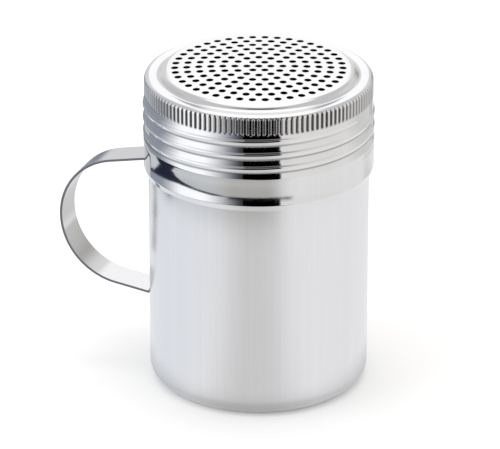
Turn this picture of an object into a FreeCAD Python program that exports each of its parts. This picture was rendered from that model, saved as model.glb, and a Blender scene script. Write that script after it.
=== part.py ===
import FreeCAD, Part
import math
import os
import Sketcher

# A hand spice shaker of stainless sheet: a drawn cup with a threaded neck, a pressed screw
# lid with a perforated top, and a bent strap handle spot welded to the cup.
# Millimetres. +Z is up, the origin is the middle of the cup's base, the handle points to -X.

# Driving sizes: name, value, what it is.
SIZES = [
    # Cup
    ("cupRadius", 33.5, "outer radius of the cup's wall"),
    ("cupHeight", 97.9, "height of the cup's mouth"),
    ("cupSheet", 0.5, "thickness of the cup's sheet"),
    ("baseCornerRadius", 4.8, "outer rounding between wall and base"),
    ("mouthRounding", 0.2, "rounding of the ground edge of the mouth"),
    # Thread, rolled into both cup and lid
    ("threadPitch", 4.3, "rise of the thread in one turn"),
    ("threadFoot", 79.1, "height of the crest where the lid's thread begins"),
    ("lidThreadTurns", 2.9, "turns of the lid's thread"),
    ("cupThreadTurns", 2.5, "turns of the cup's thread"),
    ("crestToUpperFoot", 1.2, "height of the crest's upper flank"),
    ("crestToLowerFoot", 1.7, "height of the crest's lower flank"),
    ("crestRounding", 0.9, "rounding of the crest"),
    ("lidThreadHeight", 0.6, "how far the sharp crest stands out of the lid's skirt"),
    ("cupThreadHeight", 0.45, "how far the sharp crest stands out of the cup's wall"),
    ("threadRoot", 0.2, "how deep a rolled ridge is rooted in the sheet"),
    # Lid
    ("lidRadius", 34.55, "outer radius of the lid's skirt and of its knurled band"),
    ("lidTop", 101.2, "height of the middle of the lid's top"),
    ("lidFoot", 68.6, "height of the skirt's lower edge"),
    ("lidSheet", 0.5, "thickness of the lid's sheet"),
    ("domeFlatRadius", 13.0, "where the top starts to fall away"),
    ("domeRadius", 220.0, "radius of the top's gentle dome"),
    ("plateauRadius", 28.9, "radius of the raised perforated top"),
    ("plateauHeight", 100.45, "height of its edge"),
    ("plateauRounding", 1.5, "rounding of its edge"),
    ("moatRadius", 30.2, "radius of the groove round the raised top"),
    ("moatHeight", 98.6, "height of the groove's floor"),
    ("moatRounding", 0.8, "rounding of the groove"),
    ("rimHeight", 98.95, "height of the rim before its rounding"),
    ("rimRounding", 1.5, "rounding between rim and knurled band"),
    ("bandTop", 81.3, "where the smooth band starts, below the thread"),
    ("bandCrest", 79.4, "height of the smooth band's widest place"),
    ("bandBulge", 0.4, "how far it stands out of the skirt there"),
    ("bandRounding", 1.5, "rounding of the smooth band"),
    ("waistHeight", 73.6, "height of the waist above the edge bead"),
    ("waistBulge", 0.15, "how far the waist stands out of the skirt"),
    ("waistRounding", 0.4, "rounding of the waist"),
    ("beadTop", 72.4, "top of the edge bead"),
    ("beadBulge", 0.35, "how far the bead stands out of the skirt"),
    ("beadTurn", 70.2, "where the bead turns in towards the cup"),
    ("beadRounding", 1.0, "rounding of the bead"),
    ("hemRadius", 34.15, "inner radius of the folded edge"),
    ("hemWidth", 0.25, "width of the flat under the folded edge"),
    # Knurled band
    ("knurlTop", 98.1, "top of the flutes"),
    ("knurlFoot", 93.3, "foot of the flutes"),
    ("fluteRadius", 0.6, "radius of one flute"),
    ("fluteDepth", 0.28, "depth of one flute"),
    # Perforated top
    ("holePitch", 3.614, "distance from one ring of holes to the next"),
    ("holeDiameter", 2.1, "diameter of one hole"),
    # Handle
    ("strapWidth", 10.3, "width of the handle's strap"),
    ("strapThickness", 0.8, "thickness of the strap"),
    ("bowRadius", 20.7, "radius of the bow, to the middle of the strap"),
    ("bowCentreReach", 42.7, "distance of the bow's centre from the cup's axis"),
    ("bowCentreHeight", 45.1, "height of the bow's centre"),
    ("tabBendRadius", 1.2, "radius of the sharp bends at the tabs, to the middle of the strap"),
    ("upperTabFoot", 55.0, "height where the upper tab ends"),
    ("lowerTabTop", 36.0, "height where the lower tab ends"),
    # One overrun for every cut
    ("overrun", 1.0, "how far a cutter runs past what it cuts"),
]

# Angles in degrees and counts.
ANGLES = [
    ("lidStopAngle", 20.0, "how far round the lid stands, from the handle's line, when screwed down"),
    ("upperLegSlope", 11.5, "fall of the handle's upper leg away from the cup"),
    ("lowerLegSlope", 8.0, "fall of the handle's lower leg towards the cup"),
]
FLUTE_COUNT = 132
HOLE_RINGS = 7
HOLES_PER_RING_STEP = 6

doc = FreeCAD.newDocument("SpiceShaker")
sheet = doc.addObject("Spreadsheet::Sheet", "Sizes")


def fill_sheet():
    """Write each size, its alias and its meaning into one row of the sheet."""
    for row, (name, value, meaning) in enumerate(SIZES + ANGLES, start=1):
        sheet.set("A%d" % row, name)
        sheet.set("B%d" % row, str(value))
        sheet.set("C%d" % row, meaning)
        sheet.setAlias("B%d" % row, name)
    doc.recompute()


def cell(name):
    """The expression that reads one size."""
    return "Sizes." + name


def number(expression):
    """The present value of an expression."""
    value = sheet.evalExpression(expression)
    return float(getattr(value, "Value", value))


def new_body(label):
    """An empty body whose label names its file."""
    body = doc.addObject("PartDesign::Body", label)
    body.Label = label
    return body


def plane(body, role):
    """One of the body's own origin planes."""
    return next(item for item in body.Origin.OriginFeatures if item.Role == role)


def new_sketch(body, name, role):
    sketch = body.newObject("Sketcher::SketchObject", name)
    sketch.AttachmentSupport = [(plane(body, role), "")]
    sketch.MapMode = "FlatFace"
    return sketch


def dimension(sketch, kind, *where_and_expression):
    """Add one constraint whose value is bound to an expression."""
    *where, expression = where_and_expression
    index = sketch.addConstraint(Sketcher.Constraint(kind, *where, number(expression)))
    sketch.setExpression("Constraints[%d]" % index, expression)


def place_point(sketch, geometry, position, across, up):
    """Tie a point to the sketch's origin by two expressions; '0' puts it on the axis."""
    if across == "0":
        sketch.addConstraint(Sketcher.Constraint("PointOnObject", geometry, position, -2))
    else:
        dimension(sketch, "DistanceX", -1, 1, geometry, position, across)
    if up == "0":
        sketch.addConstraint(Sketcher.Constraint("PointOnObject", geometry, position, -1))
    else:
        dimension(sketch, "DistanceY", -1, 1, geometry, position, up)


def flat(across, up):
    return FreeCAD.Vector(across, up, 0)


def draw_outline(sketch, corners):
    """Draw a closed outline of straight lines through the corners, each (across, up, rounding)
    in expressions. A rounding is a tangent arc, and the sharp corner stays as a guide point."""
    points = [flat(number(across), number(up)) for across, up, rounding in corners]
    count = len(points)
    starts, ends, arcs = {}, {}, {}
    for i, (across, up, rounding) in enumerate(corners):
        here = points[i]
        if rounding is None:
            starts[i] = ends[i] = here
            continue
        radius = number(rounding)
        back = (points[i - 1] - here).normalize()
        ahead = (points[(i + 1) % count] - here).normalize()
        half = back.getAngle(ahead) / 2
        ends[i] = here + back * (radius / math.tan(half))
        starts[i] = here + ahead * (radius / math.tan(half))
        centre = here + (back + ahead).normalize() * (radius / math.sin(half))
        arcs[i] = (centre, radius)
    lines = []
    for i in range(count):
        lines.append(sketch.addGeometry(Part.LineSegment(starts[i], ends[(i + 1) % count])))
    for i, (across, up, rounding) in enumerate(corners):
        before, after = lines[i - 1], lines[i]
        if rounding is None:
            sketch.addConstraint(Sketcher.Constraint("Coincident", before, 2, after, 1))
            place_point(sketch, after, 1, across, up)
            continue
        centre, radius = arcs[i]
        angle_in = math.atan2(ends[i].y - centre.y, ends[i].x - centre.x)
        angle_out = math.atan2(starts[i].y - centre.y, starts[i].x - centre.x)
        turn = (angle_out - angle_in) % (2 * math.pi)
        circle = Part.Circle(centre, FreeCAD.Vector(0, 0, 1), radius)
        if turn < math.pi:
            arc = sketch.addGeometry(Part.ArcOfCircle(circle, angle_in, angle_in + turn))
            joined_in, joined_out = 1, 2
        else:
            arc = sketch.addGeometry(Part.ArcOfCircle(circle, angle_out, angle_out - turn + 2 * math.pi))
            joined_in, joined_out = 2, 1
        sketch.addConstraint(Sketcher.Constraint("Tangent", before, 2, arc, joined_in))
        sketch.addConstraint(Sketcher.Constraint("Tangent", arc, joined_out, after, 1))
        dimension(sketch, "Radius", arc, rounding)
        guide = sketch.addGeometry(Part.Point(points[i]), True)
        place_point(sketch, guide, 1, across, up)
        sketch.addConstraint(Sketcher.Constraint("PointOnObject", guide, 1, before))
        sketch.addConstraint(Sketcher.Constraint("PointOnObject", guide, 1, after))


def revolve(body, name, corners):
    """A full turn of an outline about the upright axis."""
    sketch = new_sketch(body, name + "Outline", "XZ_Plane")
    draw_outline(sketch, corners)
    turned = body.newObject("PartDesign::Revolution", name)
    turned.Profile = sketch
    turned.ReferenceAxis = (sketch, ["V_Axis"])
    turned.Angle = 360
    sketch.Visibility = False
    doc.recompute()
    return turned


def wind(body, name, kind, wall, reach, root, first_crest, turns):
    """A rolled thread: a crest of height reach wound about the upright axis on the given wall
    radius, rooted below that wall. All are expressions."""
    foot = "%s - %s" % (wall, root)
    crest = "%s + %s" % (wall, reach)
    corners = [
        (foot, "%s - %s" % (first_crest, cell("crestToLowerFoot")), None),
        (crest, first_crest, cell("crestRounding")),
        (foot, "%s + %s" % (first_crest, cell("crestToUpperFoot")), None),
    ]
    sketch = new_sketch(body, name + "Outline", "XZ_Plane")
    draw_outline(sketch, corners)
    doc.recompute()
    helix = body.newObject(kind, name)
    helix.Profile = sketch
    helix.ReferenceAxis = (sketch, ["V_Axis"])
    helix.Mode = "pitch-turns-angle"
    helix.LeftHanded = False
    helix.Reversed = False
    helix.setExpression("Pitch", cell("threadPitch"))
    helix.setExpression("Turns", turns)
    sketch.Visibility = False
    doc.recompute()
    return helix


def cut_round(body, name, diameter, reach, base, depth, count):
    """Cut an upright round hole, its axis at reach from the upright axis, from the height base
    up over depth, and repeat it count times round."""
    sketch = new_sketch(body, name + "Outline", "XY_Plane")
    sketch.setExpression("AttachmentOffset.Base.z", base)
    centre = flat(number(reach), 0)
    circle = sketch.addGeometry(Part.Circle(centre, FreeCAD.Vector(0, 0, 1), number(diameter) / 2))
    place_point(sketch, circle, 3, reach, "0")
    dimension(sketch, "Diameter", circle, diameter)
    doc.recompute()
    pocket = body.newObject("PartDesign::Pocket", name)
    pocket.Profile = sketch
    pocket.Reversed = True
    pocket.setExpression("Length", depth)
    sketch.Visibility = False
    doc.recompute()
    if count > 1:
        pattern = body.newObject("PartDesign::PolarPattern", name + "Ring")
        pattern.Originals = [pocket]
        pattern.Axis = (sketch, ["N_Axis"])
        pattern.Angle = 360
        pattern.Occurrences = count
        body.Tip = pattern
        # The pattern turns about the upright axis through the sketch's own origin.
        doc.recompute()


def make_cup():
    """One drawn cup: flat base, rounded corner, straight wall, thread rolled out below its mouth."""
    body = new_body("cup")
    inner = "%s - %s" % (cell("cupRadius"), cell("cupSheet"))
    inner_corner = "%s - %s" % (cell("baseCornerRadius"), cell("cupSheet"))
    revolve(body, "CupShell", [
        ("0", "0", None),
        (cell("cupRadius"), "0", cell("baseCornerRadius")),
        (cell("cupRadius"), cell("cupHeight"), cell("mouthRounding")),
        (inner, cell("cupHeight"), cell("mouthRounding")),
        (inner, cell("cupSheet"), inner_corner),
        ("0", cell("cupSheet"), None),
    ])
    first_crest = "%s + %s" % (cell("threadFoot"), cell("threadPitch"))
    wind(body, "NeckThread", "PartDesign::AdditiveHelix", cell("cupRadius"),
         cell("cupThreadHeight"), cell("threadRoot"), first_crest, cell("cupThreadTurns"))
    wind(body, "NeckThreadHollow", "PartDesign::SubtractiveHelix", inner,
         cell("cupThreadHeight") + " / 2", cell("threadRoot"), first_crest, cell("cupThreadTurns"))
    return body


def make_lid():
    """One pressed lid: domed plateau, groove, rim, fluted band, threaded skirt, smooth band and
    a folded edge."""
    body = new_body("lid")
    thin = cell("lidSheet")
    skirt = cell("lidRadius")
    skirt_inside = "%s - %s" % (skirt, thin)
    outer = [
        ("0", cell("lidTop"), None),
        (cell("domeFlatRadius"), cell("lidTop"), cell("domeRadius")),
        (cell("plateauRadius"), cell("plateauHeight"), cell("plateauRounding")),
        (cell("moatRadius"), cell("moatHeight"), cell("moatRounding")),
        (skirt, cell("rimHeight"), cell("rimRounding")),
        (skirt, cell("bandTop"), cell("bandRounding")),
        (skirt + " + " + cell("bandBulge"), cell("bandCrest"), cell("bandRounding")),
        (skirt + " + " + cell("waistBulge"), cell("waistHeight"), cell("waistRounding")),
        (skirt + " + " + cell("beadBulge"), cell("beadTop"), cell("waistRounding")),
        (skirt + " + " + cell("beadBulge"), cell("beadTurn"), cell("beadRounding")),
        (cell("hemRadius") + " + " + cell("hemWidth"), cell("lidFoot"), None),
    ]
    inner = [
        (cell("hemRadius"), cell("lidFoot"), None),
        (cell("hemRadius"), cell("waistHeight"), cell("waistRounding")),
        (skirt_inside + " + " + cell("bandBulge"), cell("bandCrest"), cell("bandRounding")),
        (skirt_inside, cell("bandTop"), cell("bandRounding")),
        (skirt_inside, cell("rimHeight") + " - " + thin, cell("rimRounding") + " - " + thin),
        (cell("moatRadius") + " - " + thin + " / 2", cell("moatHeight") + " - " + thin,
         cell("moatRounding") + " + " + thin),
        (cell("plateauRadius") + " - " + thin + " / 2", cell("plateauHeight") + " - " + thin,
         cell("plateauRounding") + " - " + thin),
        (cell("domeFlatRadius"), cell("lidTop") + " - " + thin, cell("domeRadius") + " - " + thin),
        ("0", cell("lidTop") + " - " + thin, None),
    ]
    revolve(body, "LidShell", outer + inner)
    wind(body, "SkirtThread", "PartDesign::AdditiveHelix", skirt, cell("lidThreadHeight"),
         cell("threadRoot"), cell("threadFoot"), cell("lidThreadTurns"))
    wind(body, "SkirtThreadHollow", "PartDesign::SubtractiveHelix", skirt_inside,
         cell("lidThreadHeight") + " * 0.8", cell("threadRoot"), cell("threadFoot"),
         cell("lidThreadTurns"))
    top_base = cell("moatHeight") + " - " + cell("overrun")
    top_depth = "%s - %s + 2 * %s" % (cell("lidTop"), cell("moatHeight"), cell("overrun"))
    cut_round(body, "MiddleHole", cell("holeDiameter"), "0", top_base, top_depth, 1)
    for ring in range(1, HOLE_RINGS + 1):
        reach = "%s * %d" % (cell("holePitch"), ring)
        cut_round(body, "Holes%d" % ring, cell("holeDiameter"), reach, top_base, top_depth,
                  HOLES_PER_RING_STEP * ring)
    flute_reach = "%s - %s + %s" % (skirt, cell("fluteDepth"), cell("fluteRadius"))
    cut_round(body, "Flutes", "2 * " + cell("fluteRadius"), flute_reach, cell("knurlFoot"),
              "%s - %s" % (cell("knurlTop"), cell("knurlFoot")), FLUTE_COUNT)
    body.Placement = FreeCAD.Placement(FreeCAD.Vector(0, 0, 0),
                                       FreeCAD.Rotation(FreeCAD.Vector(0, 0, 1), 0))
    body.setExpression("Placement.Rotation.Angle", cell("lidStopAngle"))
    return body


def make_handle():
    """One bent strap: a tab on the cup's wall, a leg, a round bow, a leg and another tab. It is
    drawn towards +X and turned half a turn about the cup's axis."""
    body = new_body("handle")
    # The tab's back lies a little inside the wall, and the wall's cylinder is then cut out of it.
    tab_back = "sqrt(%s ^ 2 - (%s / 2) ^ 2)" % (cell("cupRadius"), cell("strapWidth"))
    tab_middle = "%s + %s / 2" % (tab_back, cell("strapThickness"))
    path = new_sketch(body, "StrapPath", "XZ_Plane")
    tab_x = number(tab_middle)
    bow = flat(number(cell("bowCentreReach")), number(cell("bowCentreHeight")))
    bow_radius = number(cell("bowRadius"))
    bend = number(cell("tabBendRadius"))
    upper = math.radians(number(cell("upperLegSlope")))
    lower = math.radians(number(cell("lowerLegSlope")))
    upper_start = bow + flat(math.sin(upper), math.cos(upper)) * bow_radius
    lower_start = bow + flat(math.sin(lower), -math.cos(lower)) * bow_radius
    # Centres of the two sharp bends: one bend radius out from the tab and inside each leg.
    upper_bend = flat(tab_x + bend, 0)
    upper_bend.y = upper_start.y + (upper_start.x - upper_bend.x) * math.tan(upper) - bend / math.cos(upper)
    lower_bend = flat(tab_x + bend, 0)
    lower_bend.y = lower_start.y - (lower_start.x - lower_bend.x) * math.tan(lower) + bend / math.cos(lower)
    upper_leg_end = upper_bend + flat(math.sin(upper), math.cos(upper)) * bend
    lower_leg_end = lower_bend + flat(math.sin(lower), -math.cos(lower)) * bend
    up = FreeCAD.Vector(0, 0, 1)
    pieces = [
        Part.LineSegment(flat(tab_x, number(cell("upperTabFoot"))), flat(tab_x, upper_bend.y)),
        Part.ArcOfCircle(Part.Circle(upper_bend, up, bend), math.pi / 2 - upper, math.pi),
        Part.LineSegment(upper_leg_end, upper_start),
        Part.ArcOfCircle(Part.Circle(bow, up, bow_radius), lower - math.pi / 2, math.pi / 2 - upper),
        Part.LineSegment(lower_start, lower_leg_end),
        Part.ArcOfCircle(Part.Circle(lower_bend, up, bend), math.pi, 3 * math.pi / 2 + lower),
        Part.LineSegment(flat(tab_x, lower_bend.y), flat(tab_x, number(cell("lowerTabTop")))),
    ]
    upper_tab, upper_arc, upper_leg, bow_arc, lower_leg, lower_arc, lower_tab = [
        path.addGeometry(piece) for piece in pieces]
    for one, one_end, other, other_end in [
            (upper_tab, 2, upper_arc, 2), (upper_arc, 1, upper_leg, 1), (upper_leg, 2, bow_arc, 2),
            (bow_arc, 1, lower_leg, 1), (lower_leg, 2, lower_arc, 2), (lower_arc, 1, lower_tab, 1)]:
        path.addConstraint(Sketcher.Constraint("Tangent", one, one_end, other, other_end))
    path.addConstraint(Sketcher.Constraint("Vertical", upper_tab))
    path.addConstraint(Sketcher.Constraint("Vertical", lower_tab))
    place_point(path, upper_tab, 1, tab_middle, cell("upperTabFoot"))
    place_point(path, lower_tab, 2, tab_middle, cell("lowerTabTop"))
    place_point(path, bow_arc, 3, cell("bowCentreReach"), cell("bowCentreHeight"))
    dimension(path, "Radius", bow_arc, cell("bowRadius"))
    dimension(path, "Radius", upper_arc, cell("tabBendRadius"))
    dimension(path, "Radius", lower_arc, cell("tabBendRadius"))
    dimension(path, "Angle", upper_leg, "-%s * 1 deg" % cell("upperLegSlope"))
    dimension(path, "Angle", lower_leg, "(180 + %s) * 1 deg" % cell("lowerLegSlope"))
    doc.recompute()
    section = new_sketch(body, "StrapSection", "XY_Plane")
    section.setExpression("AttachmentOffset.Base.z", cell("upperTabFoot"))
    front = tab_back + " + " + cell("strapThickness")
    half_width = cell("strapWidth") + " / 2"
    draw_outline(section, [
        (tab_back, "-" + half_width, None),
        (front, "-" + half_width, None),
        (front, half_width, None),
        (tab_back, half_width, None),
    ])
    doc.recompute()
    strap = body.newObject("PartDesign::AdditivePipe", "Strap")
    strap.Profile = section
    strap.Spine = (path, [])
    strap.Mode = "Frenet"
    doc.recompute()
    seat = new_sketch(body, "WallOutline", "XY_Plane")
    radius = number(cell("cupRadius"))
    circle = seat.addGeometry(Part.Circle(flat(0, 0), up, radius))
    seat.addConstraint(Sketcher.Constraint("Coincident", circle, 3, -1, 1))
    dimension(seat, "Radius", circle, cell("cupRadius"))
    doc.recompute()
    cut = body.newObject("PartDesign::Pocket", "WallSeat")
    cut.Profile = seat
    cut.Reversed = True
    cut.setExpression("Length", cell("cupHeight"))
    for item in (path, section, seat):
        item.Visibility = False
    body.Placement = FreeCAD.Placement(FreeCAD.Vector(0, 0, 0),
                                       FreeCAD.Rotation(FreeCAD.Vector(0, 0, 1), 180))
    doc.recompute()
    return body


def check(bodies):
    """Stop with a plain message if anything in the document failed."""
    for item in doc.Objects:
        if "Invalid" in item.State or "Error" in item.State:
            raise RuntimeError("%s is not built: %s" % (item.Label, item.State))
    for body in bodies:
        if body.Shape.isNull() or not body.Shape.isValid():
            raise RuntimeError("%s has no valid shape" % body.Label)
        if len(body.Shape.Solids) != 1:
            raise RuntimeError("%s is %d solids" % (body.Label, len(body.Shape.Solids)))


fill_sheet()
parts = [make_cup(), make_lid(), make_handle()]
doc.recompute()
check(parts)
os.makedirs("parts", exist_ok=True)
for part in parts:
    part.Shape.exportStep("parts/%s.step" % part.Label)
    box = part.Shape.BoundBox
    print("%s: %.1f mm3, Z %.2f to %.2f, radius %.2f" % (
        part.Label, part.Shape.Volume, box.ZMin, box.ZMax, box.XMax))
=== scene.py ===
import math

import bmesh
import bpy
import numpy as np
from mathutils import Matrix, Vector


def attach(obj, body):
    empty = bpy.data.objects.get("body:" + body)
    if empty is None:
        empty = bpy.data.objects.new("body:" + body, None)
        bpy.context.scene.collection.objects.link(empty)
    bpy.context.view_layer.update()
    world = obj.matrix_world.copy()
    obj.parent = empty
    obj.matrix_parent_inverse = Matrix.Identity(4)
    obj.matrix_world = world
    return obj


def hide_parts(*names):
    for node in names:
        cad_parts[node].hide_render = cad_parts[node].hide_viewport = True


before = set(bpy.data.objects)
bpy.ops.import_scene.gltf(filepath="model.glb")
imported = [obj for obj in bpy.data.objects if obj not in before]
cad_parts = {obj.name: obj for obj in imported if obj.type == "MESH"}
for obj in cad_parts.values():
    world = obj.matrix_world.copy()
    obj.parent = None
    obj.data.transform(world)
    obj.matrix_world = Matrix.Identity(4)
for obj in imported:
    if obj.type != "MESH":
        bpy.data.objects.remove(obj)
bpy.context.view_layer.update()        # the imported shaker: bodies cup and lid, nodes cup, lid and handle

# A hand spice shaker of stainless sheet: a satin cup, a bright screw lid with a perforated top
# and a strap handle. Shapes are worked out in millimetres and made in metres.
MM = 0.001
TURN = 2 * math.pi
WELD_DISTANCE = 2e-6
ANGLE_DIGITS = 9
FEWEST_ARC_STEPS = 3
# Lengths that differ by less than the first count as the same. The rim's rows end short of the
# lid's full radius by the second, and a band's rows keep clear of its joint by the third.
SAME_LENGTH = 1e-6
RIM_END_GAP = 1e-4
JOINT_GAP = 1e-3

# Cup
CUP_RADIUS = 33.5
CUP_HEIGHT = 97.9
CUP_SHEET = 0.5
BASE_CORNER_RADIUS = 4.8
MOUTH_ROUNDING = 0.2
NECK_FOOT = 80.1
NECK_TOP = 96.9
CUP_COLUMNS = 256

# Thread, rolled into both cup and lid: a ridge that climbs one pitch a turn
THREAD_PITCH = 4.3
THREAD_FOOT = 79.1
CREST_TO_UPPER_FOOT = 1.2
CREST_TO_LOWER_FOOT = 1.9
CREST_ROUNDING = 0.9
RIDGE_FOOT_ROUNDING = 0.45
LID_RIDGE = 0.586
CUP_RIDGE = 0.45
INSIDE_RIDGE_SHARE = 0.5
RIDGE_ROOT = 0.2
UNDER_RIDGE_WIDTH = 0.28
# Painted shade under the thread's ridge, at its lower foot
UNDER_RIDGE_SHADE = 0.65
CORNER_POWER = 8
# Where the ridges swell out of the wall and sink back into it, in degrees along the thread
LID_RIDGE_SPAN = (-35.0, 5.0, 985.0, 1062.0)
CUP_RIDGE_SPAN = (360.0, 385.0, 1235.0, 1260.0)
# Heights of the mesh rows beside a crest
CREST_ROWS = (-1.95, -1.65, -1.4, -1.15, -0.9, -0.65, -0.42, -0.22, -0.05, 0.12, 0.3, 0.5, 0.75,
              1.05, 1.4, 1.85)

# Lid
LID_RADIUS = 34.55
LID_TOP = 101.2
LID_FOOT = 68.6
LID_SHEET = 0.5
DOME_FLAT_RADIUS = 13.0
DOME_RADIUS = 220.0
PLATEAU_RADIUS = 28.9
PLATEAU_HEIGHT = 100.45
PLATEAU_ROUNDING = 2.4
MOAT_RADIUS = 30.2
MOAT_HEIGHT = 98.6
MOAT_ROUNDING = 1.4
RIM_HEIGHT = 98.95
RIM_ROUNDING = 1.5
BAND_TOP = 80.6
BAND_CREST = 79.35
BAND_BULGE = 0.38
BAND_ROUNDING = 1.5
BAND_CREST_ROUNDING = 1.2
WAIST = 73.7
WAIST_BULGE = 0.19
WAIST_ROUNDING = 75.0
BEAD = 70.2
BEAD_BULGE = 0.36
BEAD_ROUNDING = 1.0
HEM_RADIUS = 34.15
HEM_WIDTH = 0.25
HEM_ROUNDING = 0.08
LID_STOP_ANGLE = 20.0
LID_COLUMNS = 216
INNER_COLUMNS = 96
THREAD_ZONE_FOOT = 76.9

# Knurled band: upright grooves whose flanks stand at about a right angle to each other
FLUTE_COUNT = 132
FLUTE_FOOT = 92.85
FLUTE_WIDTH = 0.88
FLUTE_DEPTH = 0.43
FLUTE_ROOT_ROUNDING = 0.1
FLUTE_SHOULDER_ROUNDING = 0.06
LAND_CROWN = 0.015
# Painted shade in the grooves, and the power by which it grows with the depth of the cut
FLUTE_SHADE = 0.9
FLUTE_SHADE_POWER = 0.33
FLUTE_FOOT_ROWS = 6
FLUTE_ROW_GAP = 0.15
KNURL_START_RADIUS = 34.0
KNURL_FOOT = 92.6

# Perforated top: a middle hole and rings of six, twelve and so on
HOLE_PITCH = 3.614
HOLE_DIAMETER = 2.1
HOLE_RINGS = 7
HOLES_PER_RING_STEP = 6
# Mesh rows at a hole: outwards from its wall, and down from the surface
HOLE_EDGE_ROWS = ((0.12, 0.0), (0.03, 0.015), (0.0, 0.07))
HOLE_UNDER_ROWS = ((0.0, 0.45), (0.05, 0.5))
# Painted shade on each of a hole's rows, and on the insides of cup and lid
HOLE_SHADES = (0.0, 0.0, 1.0, 1.0, 1.0, 1.0, 0.6)
INSIDE_SHADE = 0.6
ARC_POINTS = 5
SIDE_POINTS = 4
MIDDLE_POINTS = 24
SEAM_GAP = 0.05

# Handle
STRAP_WIDTH = 10.3
STRAP_THICKNESS = 0.8
STRAP_EDGE_ROUNDING = 0.18
BOW_RADIUS = 20.7
BOW_CENTRE = (42.7, 45.1)
TAB_BEND_RADIUS = 1.2
# The strap is flat again this many bend radii out from its tabs
FLAT_AFTER_BENDS = 4
UPPER_TAB_FOOT = 55.0
LOWER_TAB_TOP = 36.0
UPPER_LEG_SLOPE = math.radians(11.5)
LOWER_LEG_SLOPE = math.radians(8.0)
STRAP_FACE_STEP = 1.25
BOW_STEPS = 60
BEND_STEPS = 8
LEG_STEPS = 12
# How much of the edge's rounding the strap's ends have lost, at shares of its length
END_SHARES = (0.0, 0.0, 0.3, 1.0)
END_LOSS_SHARES = (1.0, 0.8, 0.3, 0.0)


# Shapes

def outline(corners, arc_step=8.0, hold=0.12, longest=1.0):
    """An open line through corners (across, up, rounding), each rounding a tangent arc. A long
    straight run has a point close to each end, so that it shades flat."""
    corner = np.array([point[:2] for point in corners], float)
    runs = [[corner[0]]]
    for i in range(1, len(corners) - 1):
        radius = corners[i][2]
        back, ahead = corner[i - 1] - corner[i], corner[i + 1] - corner[i]
        back, ahead = back / np.linalg.norm(back), ahead / np.linalg.norm(ahead)
        half = math.acos(np.clip(back @ ahead, -1, 1)) / 2
        middle = back + ahead
        centre = corner[i] + middle / np.linalg.norm(middle) * radius / math.sin(half)
        start = corner[i] + back * radius / math.tan(half) - centre
        end = corner[i] + ahead * radius / math.tan(half) - centre
        turn = math.atan2(start[0] * end[1] - start[1] * end[0], start @ end)
        count = max(FEWEST_ARC_STEPS, math.ceil(math.degrees(abs(turn)) / arc_step),
                    math.ceil(radius * abs(turn) / longest))
        angle = math.atan2(start[1], start[0]) + np.linspace(0, turn, count + 1)
        runs.append(list(centre + radius * np.stack([np.cos(angle), np.sin(angle)], axis=1)))
    runs.append([corner[-1]])
    points = []
    for run, following in zip(runs, runs[1:]):
        points.extend(run)
        straight = following[0] - run[-1]
        length = np.linalg.norm(straight)
        if length > 3 * hold:
            points.append(run[-1] + straight * hold / length)
            points.append(following[0] - straight * hold / length)
    points.extend(runs[-1])
    return np.array(points)


def lengths_along(line):
    """The distance of each point of a line from its start."""
    return np.concatenate([[0], np.cumsum(np.hypot(*np.diff(line[:, :2], axis=0).T))])


def divided(line, longest):
    """A line with points added so that no straight run is longer than the given length."""
    length = lengths_along(line)
    pieces = [np.linspace(a, b, max(1, math.ceil((b - a) / longest)), endpoint=False)
              for a, b in zip(length, length[1:])]
    at = np.append(np.concatenate(pieces), length[-1])
    return np.column_stack([np.interp(at, length, column) for column in line.T])


def cut_line(line, axis, start, end):
    """The part of a line between two values, start and end, of one of its coordinates, which
    rises or falls steadily along it."""
    sign = 1 if end > start else -1
    along = sign * line[:, axis]
    inside = (along > sign * start + SAME_LENGTH) & (along < sign * end - SAME_LENGTH)
    order = np.argsort(along, kind="stable")
    ends = [[np.interp(sign * value, along[order], line[order, k]) for k in (0, 1)]
            for value in (start, end)]
    return np.vstack([ends[0], line[inside], ends[1]])


def turned(profile, columns):
    """Each point (r, z) of a profile carried round the upright axis: x = r cos a, y = r sin a."""
    angle = np.arange(columns) * TURN / columns
    r, z = profile[:, :1], profile[:, 1:]
    return np.stack([r * np.cos(angle), r * np.sin(angle), z + 0 * angle], axis=-1)


def smooth_step(value, start, end):
    """0 up to the start, 1 from the end on, and 3 t^2 - 2 t^3 between them."""
    t = np.clip((value - start) / (end - start), 0, 1)
    return t * t * (3 - 2 * t)


def greater(one, other):
    """The greater of two heights, with a soft inside corner where they cross: the eighth root of
    the sum of their eighth powers."""
    return (np.abs(one) ** CORNER_POWER + np.abs(other) ** CORNER_POWER) ** (1 / CORNER_POWER)


def ridge(angle, z, height, span):
    """How far a thread's ridge stands out of its wall at an angle and a height, and how near its
    lower foot is, from 0 to 1. The crest climbs one pitch a turn. Its section is a triangle with
    rounded crest and feet, and its height swells and sinks over the two ends of its span."""
    foot = height + RIDGE_ROOT
    upper = CREST_TO_UPPER_FOOT * height / foot
    lower = CREST_TO_LOWER_FOOT * height / foot
    section = outline([
        (-THREAD_PITCH, 0, 0),
        (-lower, 0, RIDGE_FOOT_ROUNDING),
        (0, height, CREST_ROUNDING),
        (upper, 0, RIDGE_FOOT_ROUNDING),
        (THREAD_PITCH, 0, 0),
    ], arc_step=3.0)
    degrees = np.degrees(angle)
    turns = np.round((360 * (z - THREAD_FOOT) / THREAD_PITCH - degrees) / 360)
    along = degrees + 360 * turns
    beside = z - THREAD_FOOT - THREAD_PITCH * along / 360
    swell = smooth_step(along, span[0], span[1]) * (1 - smooth_step(along, span[2], span[3]))
    under = swell * np.exp(-((beside + lower) / UNDER_RIDGE_WIDTH) ** 2)
    return swell * np.interp(beside, section[:, 0], section[:, 1]), under


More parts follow.
